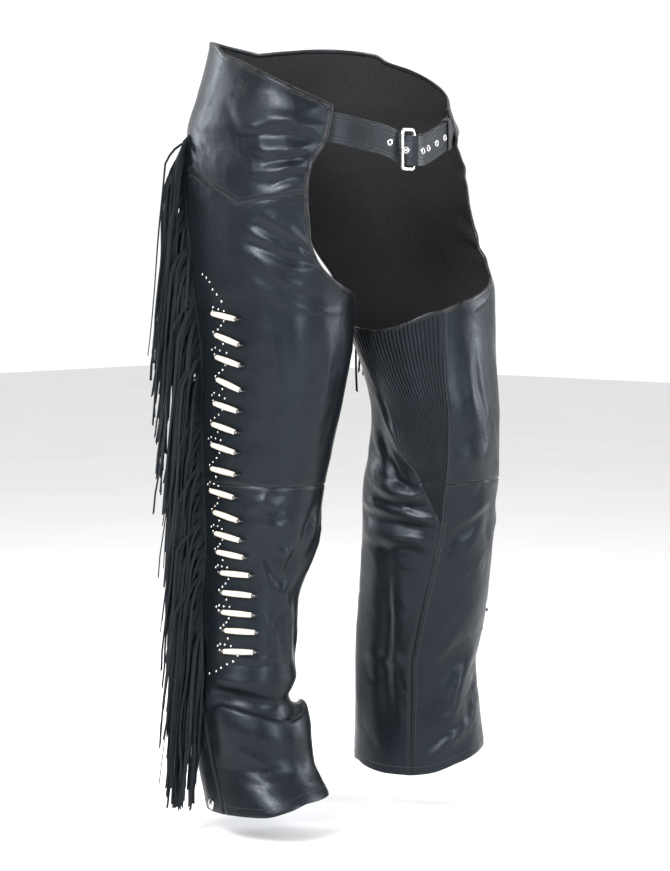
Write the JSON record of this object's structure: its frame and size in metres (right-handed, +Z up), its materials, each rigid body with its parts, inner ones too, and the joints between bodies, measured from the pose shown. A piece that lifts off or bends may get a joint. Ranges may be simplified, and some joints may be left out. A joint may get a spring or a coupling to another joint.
{
  "type": "fringed leather chaps",
  "caption": "Black leather riding chaps in worn form: hip yokes on a buckled belt, full-length legs, ribbed knee-back panels, side-seam fringe, bone beads and studs.",
  "frame": {"origin": "centre of the waist opening at belt height, where the wearer holds the garment up; 0.950 m above the floor", "axes": "+Z up, the front of the garment toward -Y, the wearer's right leg toward -X"},
  "size_m": [0.5281, 0.3529, 1.0324],
  "materials": {
    "panel_leather": "smooth semi-gloss black cowhide with fine grain and creases",
    "stretch_panel": "black rib-gathered leather over elastic",
    "fringe_suede": "charcoal black suede-faced leather, matte with a soft nap",
    "belt_leather": "black belt leather, double stitched, light edge wear",
    "bone_bead": "cream bone hairpipe, polished, faint brown grain lines",
    "bright_nickel": "nickel plate, brushed and a little scuffed"
  },
  "bodies": {
    "root": {"yoke_right": "panel_leather", "thigh_front_right": "panel_leather", "shin_front_right": "panel_leather", "leg_back_right": "panel_leather", "stretch_panel_right": "stretch_panel", "fringe_right": "fringe_suede", "snap_right": "bright_nickel", "bead_right_01": "bone_bead", "bead_right_02": "bone_bead", "bead_right_03": "bone_bead", "bead_right_04": "bone_bead", "bead_right_05": "bone_bead", "bead_right_06": "bone_bead", "bead_right_07": "bone_bead", "bead_right_08": "bone_bead", "bead_right_09": "bone_bead", "bead_right_10": "bone_bead", "bead_right_11": "bone_bead", "bead_right_12": "bone_bead", "bead_right_13": "bone_bead", "bead_right_14": "bone_bead", "bead_right_15": "bone_bead", "bead_right_16": "bone_bead", "bead_right_17": "bone_bead", "yoke_left": "panel_leather", "thigh_front_left": "panel_leather", "shin_front_left": "panel_leather", "leg_back_left": "panel_leather", "stretch_panel_left": "stretch_panel", "fringe_left": "fringe_suede", "snap_left": "bright_nickel", "bead_left_01": "bone_bead", "bead_left_02": "bone_bead", "bead_left_03": "bone_bead", "bead_left_04": "bone_bead", "bead_left_05": "bone_bead", "bead_left_06": "bone_bead", "bead_left_07": "bone_bead", "bead_left_08": "bone_bead", "bead_left_09": "bone_bead", "bead_left_10": "bone_bead", "bead_left_11": "bone_bead", "bead_left_12": "bone_bead", "bead_left_13": "bone_bead", "bead_left_14": "bone_bead", "bead_left_15": "bone_bead", "bead_left_16": "bone_bead", "bead_left_17": "bone_bead", "belt_strap_right": "belt_leather", "belt_strap_left": "belt_leather", "belt_keeper": "belt_leather", "belt_buckle_frame": "bright_nickel", "belt_prong": "bright_nickel"}
  },
  "joints": []
}
